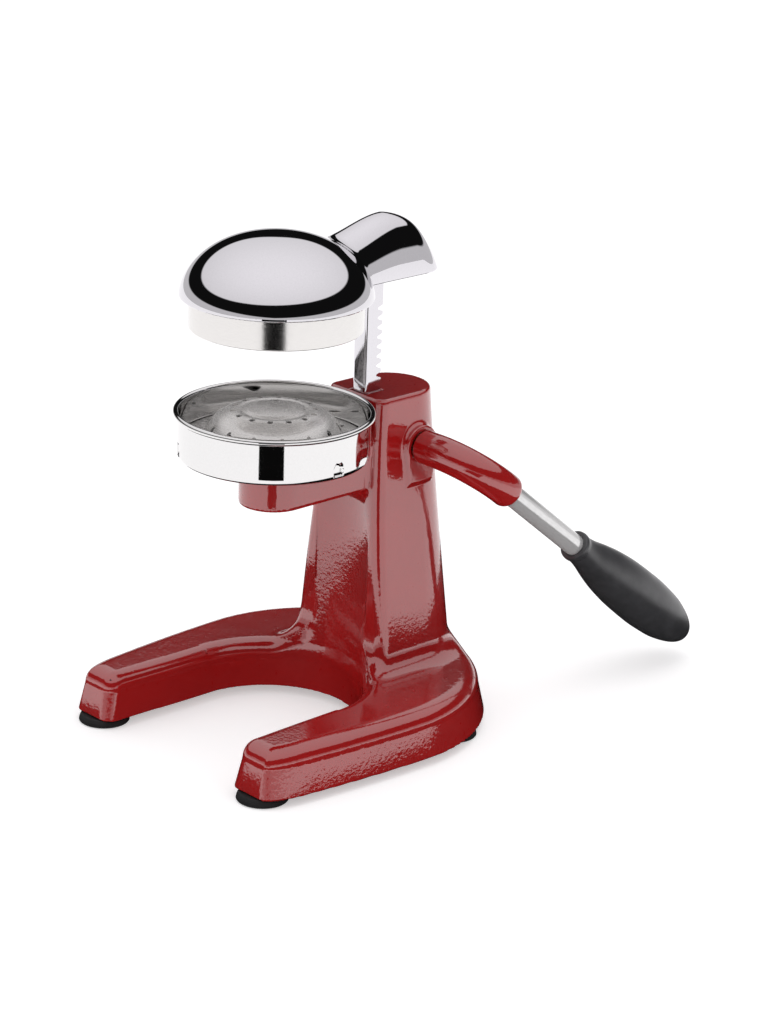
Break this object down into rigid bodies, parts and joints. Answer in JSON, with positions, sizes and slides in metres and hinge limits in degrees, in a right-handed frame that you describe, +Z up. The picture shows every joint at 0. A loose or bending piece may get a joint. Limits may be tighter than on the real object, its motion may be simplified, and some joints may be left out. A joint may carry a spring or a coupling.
{
  "type": "lever citrus press",
  "caption": "Hand lever citrus press: horseshoe base with a rack tower, a lever and pinion that lower a domed press head on to a perforated strainer in a juice funnel.",
  "frame": {"origin": "middle of the footprint of the whole press with its lever hanging back, on the table", "axes": "+X towards the lever's side, +Y to the rear, +Z up; the user stands at -Y"},
  "size_m": [0.217, 0.3966, 0.3269],
  "materials": {
    "frame_enamel": "gloss enamel with a light orange peel",
    "elbow_enamel": "gloss enamel",
    "rubber": "matte black rubber",
    "funnel_polish": "polished stainless steel",
    "head_chrome": "mirror chrome",
    "rack_chrome": "chrome",
    "tube_chrome": "chrome",
    "nut_chrome": "chrome",
    "strainer_satin": "satin stainless steel",
    "cup_brushed": "turned and brushed",
    "steel": "plain steel",
    "bronze": "sintered bronze",
    "grip_black": "matte black with a fine grain"
  },
  "bodies": {
    "frame": {"frame_casting": "frame_enamel", "foot_front_left": "rubber", "foot_front_right": "rubber", "foot_rear_left": "rubber", "foot_rear_right": "rubber", "foot_screw_front_left": "steel", "foot_screw_front_right": "steel", "foot_screw_rear_left": "steel", "foot_screw_rear_right": "steel", "juice_funnel": "funnel_polish", "strainer": "strainer_satin", "shaft_bush_right": "bronze", "shaft_bush_left": "bronze"},
    "head": {"head_cover": "head_chrome", "press_cup": "cup_brushed", "press_cup_screw": "steel", "rack_bar": "rack_chrome", "rack_cross_pin_lower": "steel", "rack_cross_pin_upper": "steel", "rack_stop_pin": "steel"},
    "lever": {"pinion": "steel", "pinion_key": "steel", "pinion_shaft": "steel", "shaft_washer": "steel", "shaft_nut": "nut_chrome", "lever_elbow": "elbow_enamel", "hub_set_screw": "steel", "lever_tube": "tube_chrome", "lever_grip": "grip_black"}
  },
  "joints": [
    {"name": "lever_turn", "type": "hinge", "parent": "frame", "child": "lever", "pos_m": [0, -0.01196, 0.179], "axis": [1, 0, 0], "range_deg": [0, 250.5]},
    {"name": "head_slide", "type": "slide", "parent": "frame", "child": "head", "axis": [0, 0, -1], "range_m": [0, 0.07]}
  ],
  "couplings": [
    {"joint": "head_slide", "follows": "lever_turn", "m_per_rad": 0.016}
  ]
}
